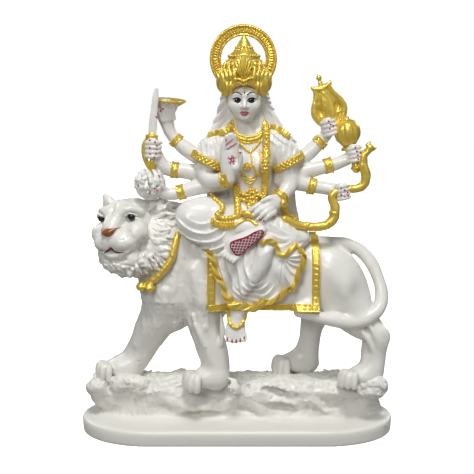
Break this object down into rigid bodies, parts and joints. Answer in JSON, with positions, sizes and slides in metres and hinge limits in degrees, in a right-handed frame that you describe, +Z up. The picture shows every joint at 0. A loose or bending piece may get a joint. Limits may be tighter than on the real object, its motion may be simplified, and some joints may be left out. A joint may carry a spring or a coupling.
{
  "type": "painted figure of a goddess riding a lion",
  "caption": "Cast figure of a many-armed crowned goddess seated side-saddle on a walking lion, on a rock and an oval-ended plinth, painted white and gold.",
  "frame": {"origin": "middle of the plinth's flat underside", "axes": "+Z up to the top of the halo; +Y away from the viewer who faces the goddess; the lion walks towards -X"},
  "size_m": [0.2396, 0.0766, 0.3042],
  "materials": {
    "painted_cast": "glossy white paint with gold details over a resin and marble-dust casting"
  },
  "bodies": {
    "root": {"goddess_on_lion": "painted_cast"}
  },
  "joints": []
}
